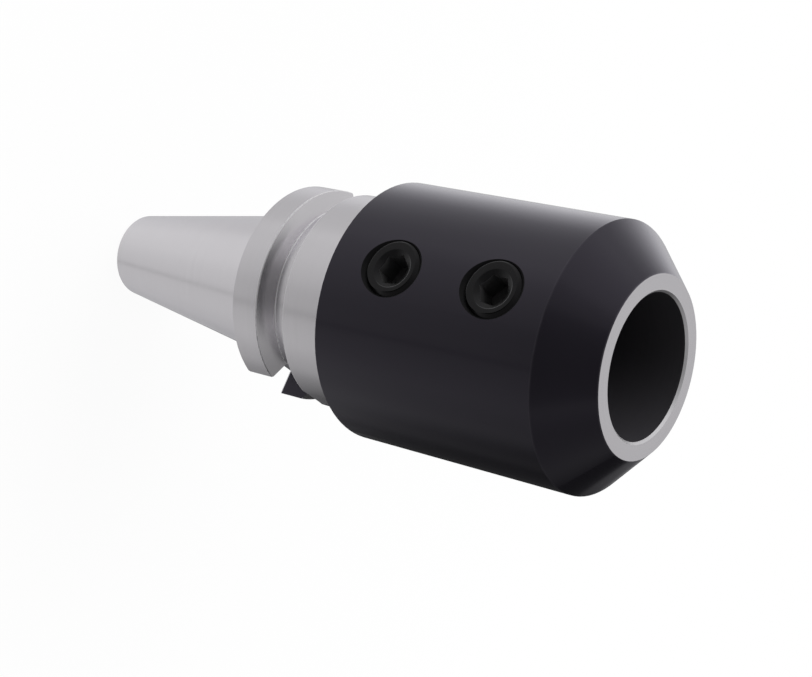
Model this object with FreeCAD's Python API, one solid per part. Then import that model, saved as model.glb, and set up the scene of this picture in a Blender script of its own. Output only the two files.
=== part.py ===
import FreeCAD, Part
import math
import os

# Side lock end mill holder: a one-piece body with a steep-taper shank, and two set screws that
# clamp the flats of a cylindrical tool shank. Millimetres. The origin is the centre of the gauge
# plane of the taper. +Z runs along the spindle axis to the nose, the clamp screws face -Y and the
# drive slots face +X and -X.

# Taper shank, size 40, taper 7 in 24
gauge_diameter = 44.45
taper_per_length = 7.0 / 24.0
taper_length = 65.4
taper_end_rounding = 1.0

# Flange with its gripper groove, and the plain collar in front of it
flange_gap = 2.0
flange_diameter = 63.0
flange_edge_chamfer = 0.8
groove_centre = 16.6
groove_width = 10.0
groove_depth = 5.0
groove_flank_angle = 30.0
groove_rounding = 0.4
collar_end = 38.5

# Drive slots: open at the rear face, with an end left round by the cutter
slot_width = 16.1
slot_floor_step = 0.0833
slot_end = 23.5
slot_lead_in = 1.6
slot_edge_chamfer = 0.5

# Clamping body, tool bore and nose
gauge_length = 121.5
body_diameter = 75.0
bore_diameter = 40.0
nose_land = 5.0
nose_angle = 45.0
body_edge_chamfer = 0.4
bore_mouth_chamfer = 0.65
bore_past_screw = 12.5
bore_relief_width = 3.0
bore_relief_depth = 0.5

# Pull stud seat at the small end of the taper, and the coolant way through to the bore
pilot_diameter = 17.0
pilot_depth = 6.0
pilot_chamfer = 1.0
stud_core_diameter = 14.0
stud_thread_length = 34.0
coolant_diameter = 10.0
drill_point_angle = 59.0

# Clamp screws and their tapped holes
screw_diameter = 16.0
screw_clearance = 0.05
screw_from_face = 30.0
screw_spacing = 32.5
screw_recess = 0.75
screw_tip_gap = 0.75
screw_top_chamfer = 0.5
screw_tip_chamfer = 1.0
countersink_diameter = 18.9
hex_corners = 6
hex_flats = 8.0
hex_depth = 8.0
socket_mouth_diameter = 11.2
socket_mouth_angle = 30.0
rear_screw_turn = 12.5
front_screw_turn = -6.5

# Places and radii that follow from the sizes above
bore_radius = bore_diameter / 2
body_radius = body_diameter / 2
nose_radius = bore_radius + nose_land
flange_radius = flange_diameter / 2
screw_radius = screw_diameter / 2
hole_radius = screw_radius + screw_clearance
taper_end = -taper_length
front_screw_z = gauge_length - screw_from_face
rear_screw_z = front_screw_z - screw_spacing
bore_floor = rear_screw_z - bore_past_screw
reach = body_diameter

X = FreeCAD.Vector(1, 0, 0)
Y = FreeCAD.Vector(0, 1, 0)
Z = FreeCAD.Vector(0, 0, 1)
ORIGIN = FreeCAD.Vector(0, 0, 0)


def carved(solid, cutters):
    """The one solid that is left after all the cutters."""
    for cutter in cutters:
        solid = solid.cut(cutter)
    return solid.removeSplitter().Solids[0]


def taper_radius(z):
    """Radius of the taper cone at height z: it grows towards the flange."""
    return gauge_diameter / 2 + z * taper_per_length / 2


def rounded(before, corner, after, rounding):
    """Arc that rounds the corner between two straight runs."""
    back = (before - corner).normalize()
    ahead = (after - corner).normalize()
    half_angle = back.getAngle(ahead) / 2
    run = rounding / math.tan(half_angle)
    inward = (back + ahead).normalize()
    middle = corner + inward * (rounding / math.sin(half_angle) - rounding)
    return Part.Arc(corner + back * run, middle, corner + ahead * run)


def turned(outline):
    """Solid of revolution about Z from (radius, z) points, closed along the axis. A third value in a
    point rounds its corner to that radius."""
    closed = [(0, outline[0][1])] + outline + [(0, outline[-1][1])]
    corners = [FreeCAD.Vector(point[0], 0, point[1]) for point in closed]
    edges = []
    start = corners[0]
    for index in range(1, len(closed)):
        end = corners[index]
        if len(closed[index]) > 2:
            arc = rounded(corners[index - 1], end, corners[index + 1], closed[index][2])
            edges += [Part.makeLine(start, arc.StartPoint), arc.toShape()]
            start = arc.EndPoint
        else:
            edges.append(Part.makeLine(start, end))
            start = end
    edges.append(Part.makeLine(start, corners[0]))
    return Part.Face(Part.Wire(edges)).revolve(ORIGIN, Z, 360)


def outer_body():
    """Shank, flange, collar and clamping body, as they leave the lathe."""
    half_top = groove_width / 2
    half_floor = half_top - groove_depth * math.tan(math.radians(groove_flank_angle))
    groove_floor_radius = flange_radius - groove_depth
    cone_start = gauge_length - (body_radius - nose_radius) / math.tan(math.radians(nose_angle))
    return turned([
        (taper_radius(taper_end), taper_end, taper_end_rounding),
        (taper_radius(flange_gap), flange_gap),
        (flange_radius - flange_edge_chamfer, flange_gap),
        (flange_radius, flange_gap + flange_edge_chamfer),
        (flange_radius, groove_centre - half_top, groove_rounding),
        (groove_floor_radius, groove_centre - half_floor, groove_rounding),
        (groove_floor_radius, groove_centre + half_floor, groove_rounding),
        (flange_radius, groove_centre + half_top, groove_rounding),
        (flange_radius, collar_end),
        (body_radius - body_edge_chamfer, collar_end),
        (body_radius, collar_end + body_edge_chamfer),
        (body_radius, cone_start),
        (nose_radius, gauge_length),
    ])


def tool_bore():
    """The ground bore, its grinding relief at the floor and the chamfer at its mouth."""
    relief_radius = bore_radius + bore_relief_depth
    mouth_radius = bore_radius + bore_mouth_chamfer
    return turned([
        (relief_radius, bore_floor),
        (relief_radius, bore_floor + bore_relief_width),
        (bore_radius, bore_floor + bore_relief_width + bore_relief_depth),
        (bore_radius, gauge_length - bore_mouth_chamfer),
        (mouth_radius, gauge_length),
        (mouth_radius, gauge_length + bore_mouth_chamfer),
    ])


def pull_stud_hole():
    """Pilot and core hole for the pull stud, with the coolant drilling on to the tool bore."""
    pilot_radius = pilot_diameter / 2
    core_radius = stud_core_diameter / 2
    coolant_radius = coolant_diameter / 2
    pilot_floor = taper_end + pilot_depth
    thread_floor = pilot_floor + stud_thread_length
    point_length = (core_radius - coolant_radius) / math.tan(math.radians(drill_point_angle))
    return turned([
        (pilot_radius + pilot_chamfer, taper_end - pilot_chamfer),
        (pilot_radius + pilot_chamfer, taper_end),
        (pilot_radius, taper_end + pilot_chamfer),
        (pilot_radius, pilot_floor),
        (core_radius, pilot_floor),
        (core_radius, thread_floor),
        (coolant_radius, thread_floor + point_length),
        (coolant_radius, bore_floor + bore_relief_width),
    ])


def extruded(corners, direction):
    """Prism over a flat outline of corner points."""
    return Part.Face(Part.makePolygon(corners + [corners[0]])).extrude(direction)


def drive_slot():
    """Cutter for the drive slot on +X: a parallel slot with a round end, a lead-in and broken edges."""
    half = slot_width / 2
    floor = taper_radius(flange_gap) + slot_floor_step
    depth = reach - floor
    round_centre = slot_end - half
    mouth = flange_gap - slot_lead_in
    straight = Part.makeBox(depth, slot_width, round_centre - mouth, FreeCAD.Vector(floor, -half, mouth))
    round_end = Part.makeCylinder(half, depth, FreeCAD.Vector(floor, 0, round_centre), X)
    cutter = straight.fuse(round_end)
    edge_x = math.sqrt(flange_radius ** 2 - half ** 2)
    groove_rear = groove_centre - groove_width / 2 + groove_rounding
    for side in (1, -1):
        wide = side * (half + 2 * slot_lead_in)
        lead_in = extruded([
            FreeCAD.Vector(floor, 0, mouth),
            FreeCAD.Vector(floor, wide, mouth),
            FreeCAD.Vector(floor, side * half, flange_gap + slot_lead_in),
            FreeCAD.Vector(floor, 0, flange_gap + slot_lead_in),
        ], X * depth)
        break_out = edge_x - slot_edge_chamfer
        edge = extruded([
            FreeCAD.Vector(break_out, 0, mouth),
            FreeCAD.Vector(break_out, side * half, mouth),
            FreeCAD.Vector(reach, side * (half + reach - break_out), mouth),
            FreeCAD.Vector(reach, 0, mouth),
        ], Z * (groove_rear - mouth))
        cutter = cutter.fuse(lead_in).fuse(edge)
    return cutter


def screw_hole(z):
    """Cutter for one tapped hole, from the tool bore out through the wall, with its countersink."""
    countersink_radius = countersink_diameter / 2
    sink = countersink_radius - hole_radius
    core = Part.makeCylinder(hole_radius, body_radius, FreeCAD.Vector(0, 0, z), -Y)
    cone = Part.makeCone(hole_radius, countersink_radius + sink, 2 * sink,
                         FreeCAD.Vector(0, sink - body_radius, z), -Y)
    return core.fuse(cone)


def holder_body():
    slot = drive_slot()
    opposite = slot.copy()
    opposite.rotate(ORIGIN, Z, 180)
    holes = [screw_hole(z) for z in (rear_screw_z, front_screw_z)]
    return carved(outer_body(), [tool_bore(), pull_stud_hole(), slot, opposite] + holes)


def clamp_screw(z, turn):
    """Set screw with a hexagon socket and a flat point, backed off just clear of the tool bore."""
    tip = bore_radius + screw_tip_gap
    top = body_radius - screw_recess
    solid = turned([
        (screw_radius - screw_tip_chamfer, tip),
        (screw_radius, tip + screw_tip_chamfer),
        (screw_radius, top - screw_top_chamfer),
        (screw_radius - screw_top_chamfer, top),
    ])
    corner_radius = hex_flats / 2 / math.cos(math.pi / hex_corners)
    corners = []
    for index in range(hex_corners):
        angle = 2 * math.pi * index / hex_corners
        corners.append(FreeCAD.Vector(corner_radius * math.cos(angle), corner_radius * math.sin(angle), top))
    hexagon = extruded(corners, Z * -hex_depth)
    mouth_radius = socket_mouth_diameter / 2
    mouth_depth = mouth_radius * math.tan(math.radians(socket_mouth_angle))
    mouth = Part.makeCone(0, mouth_radius, mouth_depth, FreeCAD.Vector(0, 0, top - mouth_depth), Z)
    solid = carved(solid, [hexagon, mouth])
    # The screw's own axis turns to -Y, and a hexagon corner that lay on X points to +Z.
    solid.rotate(ORIGIN, X, 90)
    solid.rotate(ORIGIN, Y, -90)
    solid.rotate(ORIGIN, -Y, turn)
    solid.translate(FreeCAD.Vector(0, 0, z))
    return solid


def build():
    return {
        "holder_body": holder_body(),
        "rear_clamp_screw": clamp_screw(rear_screw_z, rear_screw_turn),
        "front_clamp_screw": clamp_screw(front_screw_z, front_screw_turn),
    }


os.makedirs("parts", exist_ok=True)
for name, shape in build().items():
    shape.exportStep("parts/" + name + ".step")
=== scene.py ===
import math

import bmesh
import bpy
from mathutils import Matrix, Quaternion, Vector


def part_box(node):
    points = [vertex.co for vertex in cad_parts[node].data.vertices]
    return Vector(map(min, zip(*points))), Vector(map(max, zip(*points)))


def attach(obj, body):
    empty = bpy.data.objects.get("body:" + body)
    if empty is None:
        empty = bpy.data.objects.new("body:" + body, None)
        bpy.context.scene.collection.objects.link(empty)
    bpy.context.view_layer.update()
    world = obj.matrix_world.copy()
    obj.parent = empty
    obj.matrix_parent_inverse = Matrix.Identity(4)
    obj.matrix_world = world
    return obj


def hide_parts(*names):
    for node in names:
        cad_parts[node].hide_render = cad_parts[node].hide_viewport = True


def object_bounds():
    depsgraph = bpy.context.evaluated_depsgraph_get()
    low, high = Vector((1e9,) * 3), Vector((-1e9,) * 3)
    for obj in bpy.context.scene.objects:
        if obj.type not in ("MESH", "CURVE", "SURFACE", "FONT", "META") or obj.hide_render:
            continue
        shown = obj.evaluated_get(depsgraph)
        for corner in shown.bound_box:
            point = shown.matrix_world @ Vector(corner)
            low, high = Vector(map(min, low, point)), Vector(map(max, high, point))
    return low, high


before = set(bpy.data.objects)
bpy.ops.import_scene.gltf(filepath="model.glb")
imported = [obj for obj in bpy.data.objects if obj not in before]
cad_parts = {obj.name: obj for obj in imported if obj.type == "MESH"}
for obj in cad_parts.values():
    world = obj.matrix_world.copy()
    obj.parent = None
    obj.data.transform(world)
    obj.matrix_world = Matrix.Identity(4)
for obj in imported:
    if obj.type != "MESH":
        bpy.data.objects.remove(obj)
cad_low, cad_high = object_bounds()

# The row frame is in metres and drawing sizes are in millimetres
MM = 0.001

# Heights on the holder, along the spindle axis from the gauge plane, and its radii
FLANGE_REAR = 2.0
FLANGE_RADIUS = 31.5
FLANGE_CHAMFER = 0.8
GROOVE_REAR = 11.6
GROOVE_FRONT = 21.6
GROOVE_DEPTH = 5.0
GROOVE_FLANK = GROOVE_DEPTH * math.tan(math.radians(30))
GROOVE_ROUNDING = 0.4
SLOT_END = 23.5
COLLAR_END = 38.5
CONE_START = 109.0
NOSE = cad_high.z / MM
BODY_RADIUS = cad_high.x / MM
NOSE_RADIUS = 25.0
BORE_RADIUS = 20.0
BORE_CHAMFER = 0.65
BORE_FLOOR = 46.5
BORE_RELIEF = 0.6
PILOT_RADIUS = 8.5
PILOT_CHAMFER = 0.9

# Turned outline from the flange to the end of the collar, as height and radius
FLANGE_OUTLINE = [
    (FLANGE_REAR, FLANGE_RADIUS - FLANGE_CHAMFER),
    (FLANGE_REAR + FLANGE_CHAMFER, FLANGE_RADIUS),
    (GROOVE_REAR, FLANGE_RADIUS),
    (GROOVE_REAR + GROOVE_FLANK, FLANGE_RADIUS - GROOVE_DEPTH),
    (GROOVE_FRONT - GROOVE_FLANK, FLANGE_RADIUS - GROOVE_DEPTH),
    (GROOVE_FRONT, FLANGE_RADIUS),
    (COLLAR_END, FLANGE_RADIUS),
]

# How near a height a face counts as lying at it, and how far off the outline a corner may lie, because
# the roundings cut inside its sharp corners
TOUCH = 0.02
OUTLINE_SLACK = 0.25

# Clamp screws. The start of the thread and the turns of the sockets are angles in degrees.
SCREW_RADIUS = 8.0
SINK_RADIUS = 9.5
THREAD_PITCH = 2.0
THREAD_DEPTH = 1.2
THREAD_START = -102.0
HEX_FLATS = 8.0
HEX_CORNER_RADIUS = HEX_FLATS / 2 / math.cos(math.pi / 6)
HEX_DEPTH = 8.0
SOCKET_MOUTH_RADIUS = 5.6
SOCKET_MOUTH_ANGLE = 30.0
RIM_ROUNDING = 0.3
TIP_CHAMFER = 1.0
MOUTH_ROUNDING = 0.15
ROUND_STEPS = 96
OVERCUT = 1.0
SCREW_TURNS = {"rear_clamp_screw": 12.5, "front_clamp_screw": -6.5}

# Where the camera stands and how it is turned, from the photograph's outlines
CAMERA_PLACE = Vector((122.19, -392.84, 339.68)) * MM
CAMERA_AZIMUTH = 16.3
CAMERA_ELEVATION = 35.782
CAMERA_ROLL = 103.184
CAMERA_LENS = 78.415
SENSOR_WIDTH = 36.0

# Light of the room: its level all round, then each side that is brighter or darker, as the direction it
# lies in, the cosines at which it starts and is full, and what it adds. No corner is darker than the
# darkest. The backdrop is what polished metal sees of the white behind the piece, and the seam is a thin
# dark line where two papers meet.
ROOM_LEVEL = 0.483
ROOM_SIDES = {
    "light_above": ((-0.92, 0.24, -0.32), -0.79, 1.08, 0.34),
    "box_above": ((-0.73, -0.65, 0.22), 0.65, 0.70, 0.24),
    "white_floor": ((0.14, 0.04, -0.99), 0.69, 0.72, 0.20),
    "dim_camera_side": ((0.27, -0.87, 0.41), 0.53, 0.62, -0.26),
    "low_right": ((0.90, -0.38, 0.20), 0.80, 0.92, 0.22),
    "dim_below": ((0.82, 0.57, 0.04), 0.48, 0.78, -0.20),
    "dim_below_behind": ((0.64, 0.73, -0.24), 0.79, 0.93, -0.25),
    "dim_far_side": ((-0.02, 0.91, -0.42), 0.70, 1.08, -0.38),
    "dark_far_corner": ((0.13, 0.90, -0.41), 0.94, 1.02, -0.65),
    "dark_gap": ((-0.15, 0.82, -0.56), 0.975, 0.99, -0.45),
    "dark_wall": ((0.28, 0.93, 0.22), 0.95, 0.985, -0.36),
    "dim_upper_left": ((-0.80, -0.20, -0.50), 0.90, 0.97, -0.12),
    "light_camera_side": ((-0.10, -0.75, -0.65), 0.93, 0.985, 0.06),
}
DARKEST_CORNER = 0.03
BACKDROP = ((-0.80, 0.55, -0.25), 0.85, 1.0, 0.30)
SEAM_AXIS = (-0.897, -0.401, -0.185)
SEAM_COSINE = -0.12
SEAM_HALF_WIDTH = 0.035
SEAM_SIDE = ((0.379, -0.482, -0.790), 0.85, 0.95, -0.35)
LAMP_PLACE = (-0.4, -0.1, 0.8)
LAMP_TARGET = (0, 0, 0.03)
LAMP_SIZE = 0.6
LAMP_POWER = 6.0

# The floor's radius and the two distances between which it fades into the white backdrop are in metres.
# The gap that it leaves below the piece is in millimetres.
FLOOR_RADIUS = 0.35
FLOOR_FADE_START = 0.08
FLOOR_FADE_END = 0.315
FLOOR_WHITENESS = 0.95
FLOOR_GAP = 0.3


def feed(tree, node, **inputs):
    """Fills a node's inputs: a socket is linked, a number or colour is typed in."""
    for name, value in inputs.items():
        socket = node.inputs[int(name[1:])] if name[0] == "n" and name[1:].isdigit() else node.inputs[name]
        if isinstance(value, bpy.types.NodeSocket):
            tree.links.new(value, socket)
        else:
            socket.default_value = value
    return node


def math_node(tree, operation, first, second=0.0, clamp=False):
    """Result of one sum on two values, which may be held between 0 and 1."""
    node = tree.nodes.new("ShaderNodeMath")
    node.operation = operation
    node.use_clamp = clamp
    feed(tree, node, n0=first, n1=second)
    return node.outputs[0]


def new_group(name, inputs, outputs):
    """An empty shader node group with named sockets, and its input and output nodes."""
    group = bpy.data.node_groups.new(name, "ShaderNodeTree")
    for socket_name, socket_type, default in inputs:
        socket = group.interface.new_socket(socket_name, in_out="INPUT", socket_type=socket_type)
        if default is not None:
            socket.default_value = default
    for socket_name, socket_type in outputs:
        group.interface.new_socket(socket_name, in_out="OUTPUT", socket_type=socket_type)
    return group, group.nodes.new("NodeGroupInput"), group.nodes.new("NodeGroupOutput")


def tool_marks_group():
    """Fine rings left round the Z axis by a lathe tool or a grinding wheel.

    Spacing is the distance between marks in millimetres; Marks runs from 0 to 1 about a mean of 0.5."""
    group, given, result = new_group(
        "tool_marks",
        [("Position", "NodeSocketVector", None), ("Spacing", "NodeSocketFloat", 0.4),
         ("Detail", "NodeSocketFloat", 3.0)],
        [("Marks", "NodeSocketFloat")])
    parts = feed(group, group.nodes.new("ShaderNodeSeparateXYZ"), Vector=given.outputs["Position"])
    x, y, z = parts.outputs
    squared = math_node(group, "ADD", math_node(group, "MULTIPLY", x, x), math_node(group, "MULTIPLY", y, y))
    radius = math_node(group, "SQRT", math_node(group, "MAXIMUM", squared, 1e-9))
    around_x = math_node(group, "DIVIDE", x, radius)
    around_y = math_node(group, "DIVIDE", y, radius)
    # Height and radius together, in a ratio that no cone of the holder follows
    path = math_node(group, "ADD", z, math_node(group, "MULTIPLY", radius, 0.63))
    along = math_node(group, "DIVIDE", path, math_node(group, "MULTIPLY", given.outputs["Spacing"], MM))
    vector = group.nodes.new("ShaderNodeCombineXYZ")
    feed(group, vector, X=around_x, Y=around_y, Z=along)
    noise = group.nodes.new("ShaderNodeTexNoise")
    feed(group, noise, Vector=vector.outputs[0], Scale=1.0, Detail=given.outputs["Detail"], Roughness=0.6)
    group.links.new(noise.outputs[0], result.inputs["Marks"])
    return group


def mottle_group():
    """Soft uneven tone of a blackened or ground skin, at a size given in millimetres."""
    group, given, result = new_group(
        "mottle",
        [("Position", "NodeSocketVector", None), ("Size", "NodeSocketFloat", 8.0),
         ("Contrast", "NodeSocketFloat", 1.0)],
        [("Tone", "NodeSocketFloat")])
    scale = math_node(group, "DIVIDE", 1.0, math_node(group, "MULTIPLY", given.outputs["Size"], MM))
    noise = group.nodes.new("ShaderNodeTexNoise")
    feed(group, noise, Vector=given.outputs["Position"], Scale=scale, Detail=4.0, Roughness=0.55)
    centred = math_node(group, "SUBTRACT", noise.outputs[0], 0.5)
    stretched = math_node(group, "MULTIPLY", centred, given.outputs["Contrast"])
    tone = math_node(group, "ADD", stretched, 0.5, True)
    group.links.new(tone, result.inputs["Tone"])
    return group


def edge_wear_and_glint_group():
    """Mask of a turned edge, given by its radius and height in millimetres, rubbed bright in patches.

    Even is the wear all round, and the side vector points to the side of the edge that faces the light,
    where a painted highlight is added."""
    group, given, result = new_group(
        "edge_wear_and_glint",
        [("Position", "NodeSocketVector", None), ("Radius", "NodeSocketFloat", 10.0),
         ("Height", "NodeSocketFloat", 0.0), ("Width", "NodeSocketFloat", 0.4),
         ("Side", "NodeSocketVector", None), ("Even", "NodeSocketFloat", 1.0)],
        [("Wear_and_glint", "NodeSocketFloat")])
    parts = feed(group, group.nodes.new("ShaderNodeSeparateXYZ"), Vector=given.outputs["Position"])
    x, y, z = parts.outputs
    squared = math_node(group, "ADD", math_node(group, "MULTIPLY", x, x), math_node(group, "MULTIPLY", y, y))
    away = math_node(group, "SQRT", math_node(group, "MAXIMUM", squared, 1e-9))
    radius = math_node(group, "DIVIDE", away, MM)
    off_radius = math_node(group, "SUBTRACT", radius, given.outputs["Radius"])
    off_height = math_node(group, "SUBTRACT", math_node(group, "DIVIDE", z, MM), given.outputs["Height"])
    apart = math_node(group, "SQRT", math_node(
        group, "ADD", math_node(group, "MULTIPLY", off_radius, off_radius),
        math_node(group, "MULTIPLY", off_height, off_height)))
    near = math_node(group, "SUBTRACT", 1.0, math_node(group, "DIVIDE", apart, given.outputs["Width"]), True)
    patches = group.nodes.new("ShaderNodeTexNoise")
    feed(group, patches, Vector=given.outputs["Position"], Scale=220.0, Detail=3.0, Roughness=0.6)
    along = group.nodes.new("ShaderNodeVectorMath")
    along.operation = "DOT_PRODUCT"
    feed(group, along, n0=given.outputs["Position"], n1=given.outputs["Side"])
    # Lean towards the lit side of the edge, where the mask adds a painted highlight on top of the wear
    toward_lit_side = math_node(group, "DIVIDE", along.outputs["Value"], away)
    share = math_node(group, "ADD", toward_lit_side, given.outputs["Even"], True)
    rubbed = math_node(group, "MULTIPLY", share, math_node(group, "MULTIPLY", patches.outputs[0], 1.6))
    worn = math_node(group, "MULTIPLY", near, rubbed, True)
    group.links.new(worn, result.inputs["Wear_and_glint"])
    return group


tool_marks = tool_marks_group()
mottle = mottle_group()
edge_wear_and_glint = edge_wear_and_glint_group()


def place_group(tree, group, **inputs):
    """One use of a node group, with its inputs filled."""
    node = tree.nodes.new("ShaderNodeGroup")
    node.node_tree = group
    return feed(tree, node, **inputs)


def blank_material(name):
    """A material with a Principled shader, and the piece's own coordinates."""
    material = bpy.data.materials.new(name)
    material.use_nodes = True
    tree = material.node_tree
    tree.nodes.clear()
    shader = tree.nodes.new("ShaderNodeBsdfPrincipled")
    output = tree.nodes.new("ShaderNodeOutputMaterial")
    tree.links.new(shader.outputs[0], output.inputs["Surface"])
    position = tree.nodes.new("ShaderNodeTexCoord").outputs["Object"]
    return material, tree, shader, position


def blend_colours(tree, factor, first, second):
    """The first colour at 0 and the second at 1."""
    node = tree.nodes.new("ShaderNodeMix")
    node.data_type = "RGBA"
    feed(tree, node, n0=factor, n6=first, n7=second)
    return node.outputs[2]


def spread(tree, value, low, high):
    """Maps a 0 to 1 value to a range."""
    node = tree.nodes.new("ShaderNodeMapRange")
    feed(tree, node, Value=value, **{"To Min": low, "To Max": high})
    return node.outputs[0]


def bump(tree, height, distance):
    """Relief of a skin, with its depth in millimetres."""
    node = tree.nodes.new("ShaderNodeBump")
    feed(tree, node, Height=height, Distance=distance * MM, Strength=1.0)
    return node.outputs[0]


def ground_steel():
    """Hardened steel, ground bright: the shank, flange, collar and nose face."""
    material, tree, shader, position = blank_material("ground_steel")
    fine = place_group(tree, tool_marks, Position=position, Spacing=0.12, Detail=3.0).outputs[0]
    broad = place_group(tree, tool_marks, Position=position, Spacing=1.6, Detail=2.0).outputs[0]
    tone = place_group(tree, mottle, Position=position, Size=6.0, Contrast=1.0).outputs[0]
    marks = math_node(tree, "ADD", math_node(tree, "MULTIPLY", fine, 0.6),
                      math_node(tree, "MULTIPLY", broad, 0.4))
    colour = blend_colours(tree, marks, (0.585, 0.570, 0.592, 1), (0.655, 0.640, 0.662, 1))
    tree.links.new(colour, shader.inputs["Base Color"])
    tree.links.new(spread(tree, tone, 0.20, 0.26), shader.inputs["Roughness"])
    tree.links.new(bump(tree, fine, 0.0008), shader.inputs["Normal"])
    shader.inputs["Metallic"].default_value = 1.0
    shader.inputs["Specular Tint"].default_value = (0.85, 0.85, 0.87, 1)
    return material


def black_oxide():
    """Black oxide over fine turning: the clamping body and the drive slots."""
    material, tree, shader, position = blank_material("black_oxide")
    marks = place_group(tree, tool_marks, Position=position, Spacing=0.35, Detail=3.0).outputs[0]
    tone = place_group(tree, mottle, Position=position, Size=14.0, Contrast=1.2).outputs[0]
    skin = blend_colours(tree, tone, (0.0015, 0.0013, 0.0020, 1), (0.0024, 0.0021, 0.0031, 1))
    # Radius and height of each worn edge, and the share of the skin that is rubbed off it
    edges = [(BODY_RADIUS, COLLAR_END, 0.5), (BODY_RADIUS, CONE_START, 0.12), (NOSE_RADIUS, NOSE, 0.5)]
    worn = 0.0
    for radius, height, share in edges:
        mask = place_group(tree, edge_wear_and_glint, Position=position, Radius=radius, Height=height,
                           Width=0.45).outputs[0]
        worn = math_node(tree, "ADD", worn, math_node(tree, "MULTIPLY", mask, share))
    colour = blend_colours(tree, worn, skin, (0.09, 0.088, 0.09, 1))
    tree.links.new(colour, shader.inputs["Base Color"])
    tree.links.new(spread(tree, tone, 0.28, 0.33), shader.inputs["Roughness"])
    shape = bump(tree, marks, 0.0008)
    feed(tree, shader, Normal=shape, **{"Coat Normal": shape})
    shader.inputs["Specular IOR Level"].default_value = 0.30
    shader.inputs["Specular Tint"].default_value = (0.86, 0.76, 1.0, 1)
    # Film of oil over the blackened skin
    shader.inputs["Coat Weight"].default_value = 1.0
    shader.inputs["Coat Roughness"].default_value = 0.15
    shader.inputs["Coat IOR"].default_value = 1.25
    shader.inputs["Coat Tint"].default_value = (0.93, 0.91, 1.0, 1)
    return material


def dull_black():
    """The tapped screw holes, their countersinks and the pull stud's hole, blackened and left rough."""
    material, tree, shader, position = blank_material("dull_black")
    tone = place_group(tree, mottle, Position=position, Size=2.0, Contrast=1.2).outputs[0]
    colour = blend_colours(tree, tone, (0.0015, 0.0015, 0.0018, 1), (0.0035, 0.0034, 0.0038, 1))
    tree.links.new(colour, shader.inputs["Base Color"])
    shader.inputs["Roughness"].default_value = 0.55
    shader.inputs["Specular IOR Level"].default_value = 0.12
    return material


def dark_bore():
    """The honed and blackened tool bore, greyer and duller than the outside."""
    material, tree, shader, position = blank_material("dark_bore")
    marks = place_group(tree, tool_marks, Position=position, Spacing=0.6, Detail=3.0).outputs[0]
    colour = blend_colours(tree, marks, (0.030, 0.029, 0.033, 1), (0.042, 0.040, 0.045, 1))
    tree.links.new(colour, shader.inputs["Base Color"])
    tree.links.new(bump(tree, marks, 0.001), shader.inputs["Normal"])
    shader.inputs["Roughness"].default_value = 0.45
    shader.inputs["Specular IOR Level"].default_value = 0.5
    return material


def stoned_edge():
    """The chamfer at the mouth of the bore and the rounded edges of the groove, dulled by a stone."""
    material, tree, shader, position = blank_material("stoned_edge")
    marks = place_group(tree, tool_marks, Position=position, Spacing=0.2, Detail=2.0).outputs[0]
    colour = blend_colours(tree, marks, (0.62, 0.61, 0.63, 1), (0.74, 0.73, 0.75, 1))
    tree.links.new(colour, shader.inputs["Base Color"])
    shader.inputs["Metallic"].default_value = 1.0
    shader.inputs["Roughness"].default_value = 0.42
    return material


def screw_oxide(node, centre_z, length):
    """Black oxide of a set screw. The rim of its top and of its socket are rubbed to bare steel, with a
    painted highlight added on the side of each rim that faces the light.
    """
    material, tree, shader, position = blank_material(node + "_oxide")
    turned = tree.nodes.new("ShaderNodeMapping")
    feed(tree, turned, Vector=position, Location=(0, -centre_z, 0), Rotation=(-math.pi / 2, 0, 0))
    own = turned.outputs[0]
    tone = place_group(tree, mottle, Position=position, Size=3.0, Contrast=1.4).outputs[0]
    skin = blend_colours(tree, tone, (0.0042, 0.0042, 0.0044, 1), (0.0068, 0.0067, 0.0070, 1))
    # Radius of each rubbed rim, its depth below the top, its width, and the side where a painted highlight
    # is added to the wear
    worn_and_lit_rims = [(SCREW_RADIUS - 0.09, 0.09, 0.35, (-0.26, -0.97, 0)),
            (SOCKET_MOUTH_RADIUS - 0.07, 0.05, 0.14, (0.57, 0.82, 0))]
    worn = 0.0
    for radius, below, width, side in worn_and_lit_rims:
        mask = place_group(tree, edge_wear_and_glint, Position=own, Radius=radius, Height=length - below, Width=width,
                           Side=side, Even=0.1).outputs[0]
        worn = math_node(tree, "ADD", worn, math_node(tree, "MULTIPLY", mask, 0.6))
    # Bare rubbed steel on the rims, lighter and more metallic on their lit sides as a painted highlight
    colour = blend_colours(tree, worn, skin, (0.30, 0.30, 0.31, 1))
    tree.links.new(colour, shader.inputs["Base Color"])
    tree.links.new(math_node(tree, "MULTIPLY", worn, 4.0, True), shader.inputs["Metallic"])
    tree.links.new(spread(tree, tone, 0.20, 0.30), shader.inputs["Roughness"])
    tree.links.new(bump(tree, tone, 0.008), shader.inputs["Normal"])
    shader.inputs["Specular IOR Level"].default_value = 0.17
    shader.inputs["Specular Tint"].default_value = (0.98, 0.96, 1.0, 1)
    return material


def broached_scale():
    """The inside of a hexagon socket, greyer than the outside of the screw."""
    material, tree, shader, position = blank_material("broached_scale")
    tone = place_group(tree, mottle, Position=position, Size=1.5, Contrast=1.4).outputs[0]
    colour = blend_colours(tree, tone, (0.026, 0.026, 0.027, 1), (0.045, 0.044, 0.045, 1))
    tree.links.new(colour, shader.inputs["Base Color"])
    shader.inputs["Roughness"].default_value = 0.5
    shader.inputs["Specular IOR Level"].default_value = 0.3
    return material


def flange_outline_radius(z):
    """Radius of the flange, the groove and the collar at height z, with their corners left sharp."""
    for (low, low_radius), (high, high_radius) in zip(FLANGE_OUTLINE, FLANGE_OUTLINE[1:]):
        if z <= high:
            share = max(0.0, (z - low) / (high - low))
            return low_radius + share * (high_radius - low_radius)
    return FLANGE_OUTLINE[-1][1]


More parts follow.
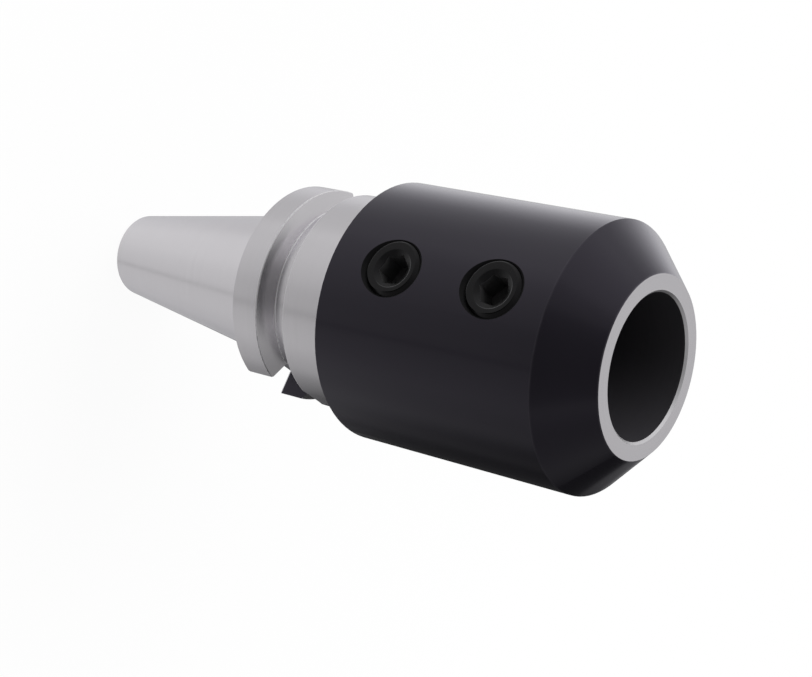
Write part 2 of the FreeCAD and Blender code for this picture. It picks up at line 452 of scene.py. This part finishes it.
def is_ground(centre, normal, corners):
    """Whether a face of the holder was ground bright after blackening. Lengths are in millimetres."""
    radius = math.hypot(centre.x, centre.y)
    if radius < PILOT_RADIUS + PILOT_CHAMFER and centre.z < FLANGE_REAR:
        return False
    if centre.z > NOSE - BORE_CHAMFER:
        return normal.z > 0.99 or radius < BORE_RADIUS + BORE_CHAMFER
    if centre.z > COLLAR_END - TOUCH:
        return False
    if FLANGE_REAR + TOUCH < centre.z < SLOT_END + TOUCH:
        off_outline = [abs(corner.xy.length - flange_outline_radius(corner.z)) for corner in corners]
        return max(off_outline) < OUTLINE_SLACK
    return True


def is_bore(centre):
    """Whether a face of the holder belongs to the wall of the tool bore."""
    radius = math.hypot(centre.x, centre.y)
    return BORE_FLOOR < centre.z < NOSE - BORE_CHAMFER and radius < BORE_RADIUS + BORE_RELIEF


def is_broken_edge(centre, normal):
    """Whether a bare face of the holder is a rounded edge of the groove, or the mouth of the bore."""
    if centre.z > BORE_FLOOR:
        radius = math.hypot(centre.x, centre.y)
        return NOSE - BORE_CHAMFER < centre.z < NOSE - TOUCH and radius < BORE_RADIUS + BORE_CHAMFER
    in_groove = GROOVE_REAR - GROOVE_ROUNDING < centre.z < GROOVE_FRONT + GROOVE_ROUNDING
    # Steeper than the floor and the rim, and not as steep as the flanks
    return in_groove and 0.03 < abs(normal.z) < 0.84


def is_drilled(centre, screw_heights):
    """Whether a face of the holder lies in a tapped hole, its countersink or the pull stud's hole."""
    nearest = min(math.hypot(centre.x, centre.z - height) for height in screw_heights)
    along_axis = math.hypot(centre.x, centre.y) < PILOT_RADIUS + TOUCH and centre.z < BORE_FLOOR - TOUCH
    return along_axis or (centre.y < -BORE_RADIUS * 0.9 and nearest < SINK_RADIUS)


def finish_left_on(centre, normal, corners, screw_heights):
    """Name of the finish that a face of the holder was left with."""
    if is_drilled(centre, screw_heights):
        return "drilled"
    if is_bore(centre):
        return "bore"
    if is_ground(centre, normal, corners):
        return "stoned" if is_broken_edge(centre, normal) else "ground"
    return "blackened"


def dress_holder(holder):
    """Gives each face of the holder the finish that its operation left."""
    screw_heights = []
    for node in SCREW_TURNS:
        low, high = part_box(node)
        screw_heights.append((low.z + high.z) / 2 / MM)
    finishes = {
        "blackened": black_oxide(),
        "ground": ground_steel(),
        "bore": dark_bore(),
        "drilled": dull_black(),
        "stoned": stoned_edge(),
    }
    order = list(finishes)
    holder.data.materials.clear()
    for finish in finishes.values():
        holder.data.materials.append(finish)
    for face in holder.data.polygons:
        corners = [holder.data.vertices[index].co / MM for index in face.vertices]
        finish = finish_left_on(face.center / MM, face.normal, corners, screw_heights)
        face.material_index = order.index(finish)


def object_from(name, mesh_data):
    """A new object over a finished bmesh."""
    mesh = bpy.data.meshes.new(name)
    mesh_data.to_mesh(mesh)
    mesh_data.free()
    made = bpy.data.objects.new(name, mesh)
    bpy.context.scene.collection.objects.link(made)
    return made


def cut_away(piece, cutter):
    """Cuts one piece's shape out of another, and throws the cutter away."""
    modifier = piece.modifiers.new("cut", "BOOLEAN")
    modifier.object = cutter
    modifier.operation = "DIFFERENCE"
    modifier.solver = "EXACT"
    bpy.context.view_layer.update()
    graph = bpy.context.evaluated_depsgraph_get()
    mesh = bpy.data.meshes.new_from_object(piece.evaluated_get(graph))
    piece.modifiers.clear()
    piece.data = mesh
    bpy.data.objects.remove(cutter)


def crease(mesh, limit):
    """Smooth faces that stay crisp where two faces meet at more than the limit, in degrees."""
    work = bmesh.new()
    work.from_mesh(mesh)
    for face in work.faces:
        face.smooth = True
    for edge in work.edges:
        edge.smooth = len(edge.link_faces) == 2 and edge.calc_face_angle(0) < math.radians(limit)
    work.to_mesh(mesh)
    work.free()


def thread_profile(length):
    """Points (radius, height) of a threaded run, from below the tip to above the top."""
    root = SCREW_RADIUS - THREAD_DEPTH
    # Crest, flank and root of one turn, as shares of the pitch
    steps = [(0.0, SCREW_RADIUS), (0.125, SCREW_RADIUS), (0.44, root), (0.69, root)]
    points = []
    for turn in range(-2, int(length / THREAD_PITCH) + 2):
        for share, radius in steps:
            points.append((radius, (turn + share) * THREAD_PITCH))
    return points


def threaded_blank(name, length):
    """A set screw's threaded bar along +Z, its tip at 0 and chamfered."""
    work = bmesh.new()
    chain = [work.verts.new((radius * MM, 0, height * MM)) for radius, height in thread_profile(length)]
    edges = [work.edges.new(pair) for pair in zip(chain, chain[1:])]
    bmesh.ops.spin(work, geom=chain + edges, cent=(0, 0, 0), axis=(0, 0, 1), angle=math.tau,
                   steps=ROUND_STEPS, dvec=(0, 0, THREAD_PITCH * MM / ROUND_STEPS), use_merge=False)
    bmesh.ops.remove_doubles(work, verts=work.verts, dist=0.001 * MM)
    for height, outward in ((0.0, -1), (length, 1)):
        cut = bmesh.ops.bisect_plane(work, geom=work.verts[:] + work.edges[:] + work.faces[:],
                                     plane_co=(0, 0, height * MM), plane_no=(0, 0, outward),
                                     clear_outer=True, dist=1e-7)
        rim = [item for item in cut["geom_cut"] if isinstance(item, bmesh.types.BMEdge)]
        bmesh.ops.holes_fill(work, edges=rim, sides=0)
    bmesh.ops.rotate(work, verts=work.verts, cent=(0, 0, 0),
                     matrix=Matrix.Rotation(math.radians(THREAD_START), 3, "Z"))
    for vert in work.verts:
        height = vert.co.z / MM
        radius = math.hypot(vert.co.x, vert.co.y) / MM
        allowed = SCREW_RADIUS - max(0.0, TIP_CHAMFER - height)
        if radius > allowed:
            vert.co.x *= allowed / radius
            vert.co.y *= allowed / radius
    bmesh.ops.recalc_face_normals(work, faces=work.faces)
    return object_from(name, work)


def socket_cutters(length, turn):
    """The hexagon, and the conical mouth over it."""
    hexagon = bmesh.new()
    made = bmesh.ops.create_cone(hexagon, cap_ends=True, segments=6, radius1=HEX_CORNER_RADIUS * MM,
                                 radius2=HEX_CORNER_RADIUS * MM, depth=HEX_DEPTH * 2 * MM)
    bmesh.ops.rotate(hexagon, verts=made["verts"], cent=(0, 0, 0),
                     matrix=Matrix.Rotation(math.radians(turn), 3, "Z"))
    bmesh.ops.translate(hexagon, verts=made["verts"], vec=(0, 0, length * MM))
    mouth = bmesh.new()
    slope = math.tan(math.radians(SOCKET_MOUTH_ANGLE))
    depth = (SOCKET_MOUTH_RADIUS + OVERCUT) * slope
    made = bmesh.ops.create_cone(mouth, cap_ends=True, segments=ROUND_STEPS, radius1=0.0,
                                 radius2=(SOCKET_MOUTH_RADIUS + OVERCUT) * MM, depth=depth * MM)
    bmesh.ops.translate(mouth, verts=made["verts"],
                        vec=(0, 0, (length + OVERCUT * slope - depth / 2) * MM))
    bmesh.ops.remove_doubles(mouth, verts=mouth.verts, dist=1e-7)
    return object_from("hexagon_cutter", hexagon), object_from("mouth_cutter", mouth)


def rim_cutter(length):
    """A ring that leaves the outer rim of a screw's top rounded."""
    outer = SCREW_RADIUS + OVERCUT
    outline = [(outer, length + OVERCUT), (SCREW_RADIUS - RIM_ROUNDING, length + OVERCUT)]
    # Quarter round from the flat top to the side, a little short of both so that it cuts cleanly
    for degrees in range(5, 95, 15):
        angle = math.radians(degrees)
        radius = SCREW_RADIUS - RIM_ROUNDING * (1 - math.sin(angle))
        outline.append((radius, length - RIM_ROUNDING * (1 - math.cos(angle))))
    outline.append((outer, length - RIM_ROUNDING))
    ring = bmesh.new()
    corners = [ring.verts.new((radius * MM, 0, height * MM)) for radius, height in outline]
    edges = [ring.edges.new((corners[index - 1], corners[index])) for index in range(len(corners))]
    bmesh.ops.spin(ring, geom=corners + edges, cent=(0, 0, 0), axis=(0, 0, 1), angle=math.tau,
                   steps=ROUND_STEPS, use_merge=True)
    bmesh.ops.recalc_face_normals(ring, faces=ring.faces)
    return object_from("rim_cutter", ring)


def round_socket_mouth(mesh, length):
    """Breaks the sharp edge where the conical mouth of the socket meets the top of the screw."""
    work = bmesh.new()
    work.from_mesh(mesh)
    rim = []
    for edge in work.edges:
        on_top = all(abs(vert.co.z / MM - length) < TOUCH for vert in edge.verts)
        on_mouth = all(abs(vert.co.xy.length / MM - SOCKET_MOUTH_RADIUS) < TOUCH for vert in edge.verts)
        if on_top and on_mouth:
            rim.append(edge)
    bmesh.ops.bevel(work, geom=rim, offset=MOUTH_ROUNDING * MM, affect="EDGES", segments=3, profile=0.5,
                    material=-1)
    work.to_mesh(mesh)
    work.free()


def grey_socket(mesh, length):
    """Gives the walls and the floor of the hexagon the second finish of the screw."""
    socket_floor = length - HEX_DEPTH
    for face in mesh.polygons:
        centre = face.center / MM
        in_socket = centre.xy.length < HEX_CORNER_RADIUS and centre.z > socket_floor - TOUCH
        on_floor = centre.z < socket_floor + TOUCH
        on_wall = abs(face.normal.z) < 0.3
        face.material_index = 1 if in_socket and (on_floor or on_wall) else 0


def clamp_screw(node, body):
    """A threaded set screw that stands for the plain one."""
    low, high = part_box(node)
    length = (high.y - low.y) / MM
    centre_z = (low.z + high.z) / 2
    piece = threaded_blank(node.replace("clamp", "threaded"), length)
    for cutter in (*socket_cutters(length, SCREW_TURNS[node]), rim_cutter(length)):
        cut_away(piece, cutter)
    round_socket_mouth(piece.data, length)
    piece.data.materials.append(screw_oxide(node, centre_z, -low.y / MM))
    piece.data.materials.append(broached_scale())
    grey_socket(piece.data, length)
    to_row = Matrix.Translation((0, high.y, centre_z)) @ Matrix.Rotation(math.pi / 2, 4, "X")
    piece.data.transform(to_row)
    crease(piece.data, 25)
    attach(piece, body)
    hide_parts(node)


def floor():
    """White floor under the small end of the taper, with the soft shadow of the piece. It fades into the
    backdrop before its edge. Reflections see the room's own white floor instead."""
    work = bmesh.new()
    bmesh.ops.create_circle(work, cap_ends=True, segments=128, radius=FLOOR_RADIUS)
    bmesh.ops.translate(work, verts=work.verts, vec=(0, 0, cad_low.z - FLOOR_GAP * MM))
    piece = object_from("floor", work)
    material = bpy.data.materials.new("floor_paper")
    material.use_nodes = True
    tree = material.node_tree
    tree.nodes.clear()
    paper = feed(tree, tree.nodes.new("ShaderNodeBsdfDiffuse"), Color=(0.8, 0.8, 0.8, 1))
    white = feed(tree, tree.nodes.new("ShaderNodeEmission"), Color=(1, 1, 1, 1), Strength=1.0)
    clear = tree.nodes.new("ShaderNodeBsdfTransparent")
    away = tree.nodes.new("ShaderNodeVectorMath")
    away.operation = "LENGTH"
    feed(tree, away, n0=tree.nodes.new("ShaderNodeTexCoord").outputs["Object"])
    faded = tree.nodes.new("ShaderNodeMapRange")
    feed(tree, faded, Value=away.outputs["Value"],
         **{"From Min": FLOOR_FADE_START, "From Max": FLOOR_FADE_END, "To Min": FLOOR_WHITENESS})
    shaded = tree.nodes.new("ShaderNodeMixShader")
    feed(tree, shaded, n0=faded.outputs[0], n1=paper.outputs[0], n2=white.outputs[0])
    seen = tree.nodes.new("ShaderNodeLightPath").outputs["Is Camera Ray"]
    below = tree.nodes.new("ShaderNodeNewGeometry").outputs["Backfacing"]
    opaque = math_node(tree, "SUBTRACT", seen, below, True)
    mixed = tree.nodes.new("ShaderNodeMixShader")
    feed(tree, mixed, n0=opaque, n1=clear.outputs[0], n2=shaded.outputs[0])
    output = tree.nodes.new("ShaderNodeOutputMaterial")
    tree.links.new(mixed.outputs[0], output.inputs["Surface"])
    piece.data.materials.append(material)


def studio_world():
    """White to the camera, and a softly lit room to everything else. Reflections and glass meet the white
    backdrop too, behind and above the piece."""
    world = bpy.data.worlds.new("studio")
    bpy.context.scene.world = world
    world.use_nodes = True
    tree = world.node_tree
    tree.nodes.clear()
    direction = tree.nodes.new("ShaderNodeTexCoord").outputs["Generated"]

    def glow(towards, start, full, strength):
        """Light from one side of the room, in full where a direction lies close to that side."""
        dot = tree.nodes.new("ShaderNodeVectorMath")
        dot.operation = "DOT_PRODUCT"
        feed(tree, dot, n0=direction, n1=Vector(towards).normalized())
        ramp = tree.nodes.new("ShaderNodeMapRange")
        ramp.interpolation_type = "SMOOTHSTEP"
        feed(tree, ramp, Value=dot.outputs["Value"],
             **{"From Min": start, "From Max": full, "To Max": strength})
        return ramp.outputs[0]

    room = ROOM_LEVEL
    for side in ROOM_SIDES.values():
        room = math_node(tree, "ADD", glow(*side), room)
    across = feed(tree, tree.nodes.new("ShaderNodeVectorMath"), n0=direction, n1=SEAM_AXIS)
    across.operation = "DOT_PRODUCT"
    off_seam = math_node(tree, "ABSOLUTE", math_node(tree, "SUBTRACT", across.outputs["Value"], SEAM_COSINE))
    on_seam = math_node(tree, "SUBTRACT", 1.0, math_node(tree, "DIVIDE", off_seam, SEAM_HALF_WIDTH), True)
    room = math_node(tree, "ADD", math_node(tree, "MULTIPLY", on_seam, glow(*SEAM_SIDE)), room)
    room = math_node(tree, "MAXIMUM", room, DARKEST_CORNER)
    rays = tree.nodes.new("ShaderNodeLightPath").outputs
    mirrored = math_node(tree, "MAXIMUM", rays["Is Glossy Ray"], rays["Is Transmission Ray"])
    unseen = math_node(tree, "ADD", room, math_node(tree, "MULTIPLY", mirrored, glow(*BACKDROP)))
    level = tree.nodes.new("ShaderNodeMix")
    feed(tree, level, n0=rays["Is Camera Ray"], n2=unseen, n3=1.0)
    background = feed(tree, tree.nodes.new("ShaderNodeBackground"), Color=(1, 1, 1, 1),
                      Strength=level.outputs[0])
    output = tree.nodes.new("ShaderNodeOutputWorld")
    tree.links.new(background.outputs[0], output.inputs["Surface"])


def soft_lamp(name, place, target, size, power):
    """A round lamp aimed at a target, unseen in reflections."""
    light = bpy.data.lights.new(name, "AREA")
    light.shape = "DISK"
    light.size = size
    light.energy = power
    lamp = bpy.data.objects.new(name, light)
    lamp.location = place
    lamp.visible_glossy = False
    lamp.rotation_mode = "QUATERNION"
    lamp.rotation_quaternion = (Vector(target) - Vector(place)).to_track_quat("-Z", "Y")
    bpy.context.scene.collection.objects.link(lamp)


def photo_camera():
    """Camera at the photograph's viewing angle."""
    azimuth = math.radians(CAMERA_AZIMUTH)
    elevation = math.radians(CAMERA_ELEVATION)
    back = Vector((math.sin(azimuth) * math.cos(elevation), -math.cos(azimuth) * math.cos(elevation),
                   math.sin(elevation)))
    data = bpy.data.cameras.new("photo_camera")
    data.sensor_fit = "HORIZONTAL"
    data.sensor_width = SENSOR_WIDTH
    data.lens = CAMERA_LENS
    camera = bpy.data.objects.new("photo_camera", data)
    camera.location = CAMERA_PLACE
    camera.rotation_mode = "QUATERNION"
    roll = Quaternion((0, 0, 1), math.radians(CAMERA_ROLL))
    camera.rotation_quaternion = back.to_track_quat("Z", "Y") @ roll
    bpy.context.scene.collection.objects.link(camera)
    bpy.context.scene.camera = camera


photo_camera()
dress_holder(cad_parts["holder_body"])
clamp_screw("rear_clamp_screw", "rear_screw")
clamp_screw("front_clamp_screw", "front_screw")
floor()
studio_world()
soft_lamp("overhead_lamp", LAMP_PLACE, LAMP_TARGET, LAMP_SIZE, LAMP_POWER)
bpy.context.scene.view_settings.view_transform = "Standard"
